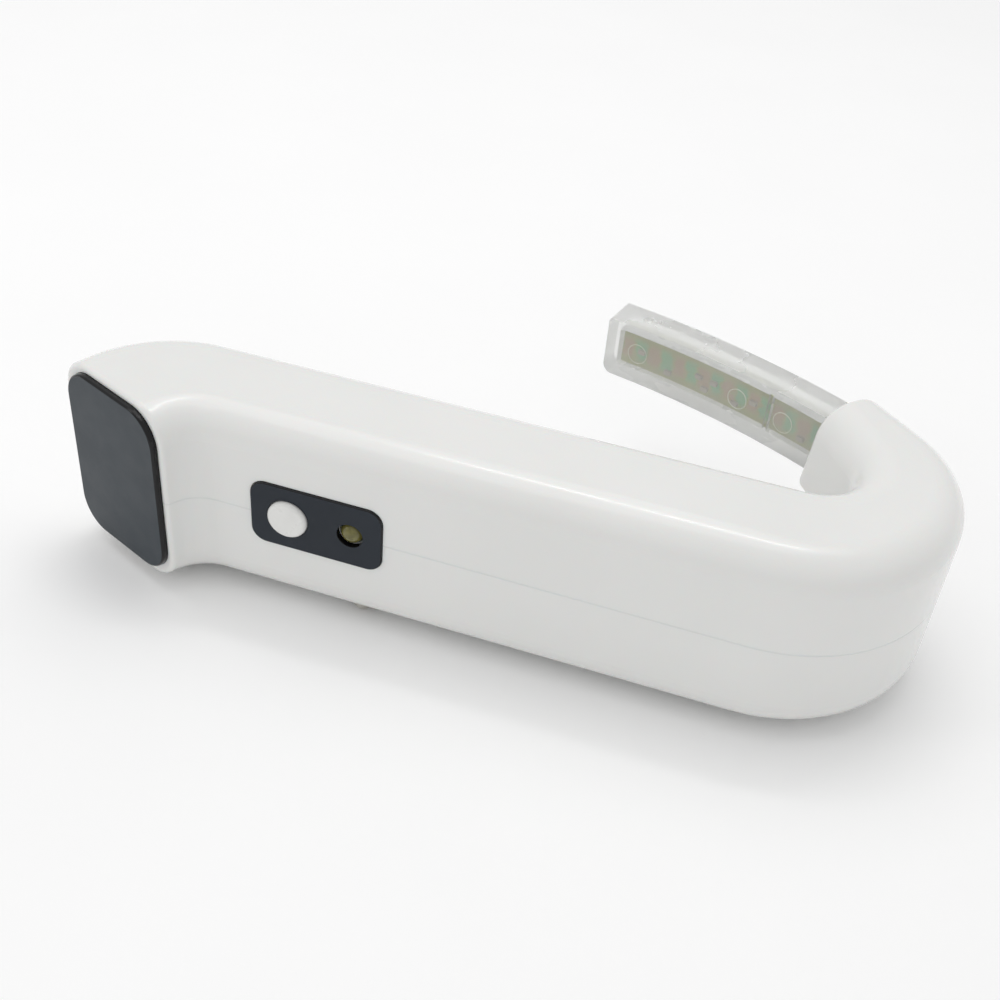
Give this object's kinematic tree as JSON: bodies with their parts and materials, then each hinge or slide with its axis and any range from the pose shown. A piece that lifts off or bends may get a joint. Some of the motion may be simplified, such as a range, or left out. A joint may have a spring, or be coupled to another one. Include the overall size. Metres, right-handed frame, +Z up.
{
  "type": "cordless intraoral dental lamp",
  "caption": "Hook-shaped cordless dental handpiece: white two-shell body with a tinted end window, push button and indicator, bent arm carrying a clear blade with a board inside.",
  "frame": {"origin": "middle of the bounding box, at the height of the charging studs' tips, on which the part rests", "axes": "+X along the handle towards the bend, +Y from the button side to the blade side, +Z up, away from the charging studs"},
  "size_m": [0.1097, 0.0559, 0.0278],
  "materials": {
    "white_shell": "smooth glossy moulded shell",
    "tinted_panel": "dark tinted, glossy rim",
    "adhesive_film": "thin double-sided foam film",
    "steel": "zinc plated screw steel",
    "white_button": "smooth cap",
    "black_plastic": "moulded",
    "led_resin": "tinted epoxy dome",
    "tinned_wire": "tinned",
    "circuit_board": "solder-masked laminate",
    "ceramic_part": "small fired part",
    "ferrite": "ferrite core",
    "cell_pouch": "laminated foil pouch",
    "foam": "closed-cell foam",
    "connector_plastic": "nylon",
    "red_wire": "insulated wire",
    "black_wire": "insulated wire",
    "nickel": "nickel plated",
    "silicone": "soft seal",
    "screen_glass": "dark glass panel",
    "flex_film": "flexible printed film",
    "clear_plastic": "clear moulded acrylic",
    "led_chip": "moulded lamp chip"
  },
  "bodies": {
    "housing": {"upper_shell": "white_shell", "lower_shell": "white_shell", "end_window": "tinted_panel", "end_window_tape": "adhesive_film", "control_panel": "tinted_panel", "control_panel_tape": "adhesive_film", "case_screws": "steel", "tact_switch_body": "black_plastic", "indicator_led": "led_resin", "indicator_led_legs": "tinned_wire", "main_board": "circuit_board", "board_chips": "black_plastic", "board_passives": "ceramic_part", "driver_inductor": "ferrite", "battery_cell": "cell_pouch", "battery_protection_board": "circuit_board", "battery_foam_pads": "foam", "battery_connector_socket": "connector_plastic", "battery_connector_plug": "connector_plastic", "battery_lead_positive": "red_wire", "battery_lead_negative": "black_wire", "charging_contacts": "nickel", "charging_contact_seals": "silicone", "charging_lead_positive": "red_wire", "charging_lead_negative": "black_wire", "display_panel": "screen_glass", "display_board": "circuit_board", "display_ribbon": "flex_film", "blade_housing": "clear_plastic", "blade_cover": "clear_plastic", "blade_board": "circuit_board", "blade_leds": "led_chip", "blade_resistors": "ceramic_part", "blade_lead_positive": "red_wire", "blade_lead_negative": "black_wire"},
    "button": {"power_button": "white_button", "tact_switch_stem": "black_plastic"}
  },
  "joints": [
    {"name": "button_press", "type": "slide", "parent": "housing", "child": "button", "axis": [0, 1, 0], "range_m": [0, 0.0005], "stiffness_N_per_m": 2500, "springref_m": -0.0004}
  ]
}
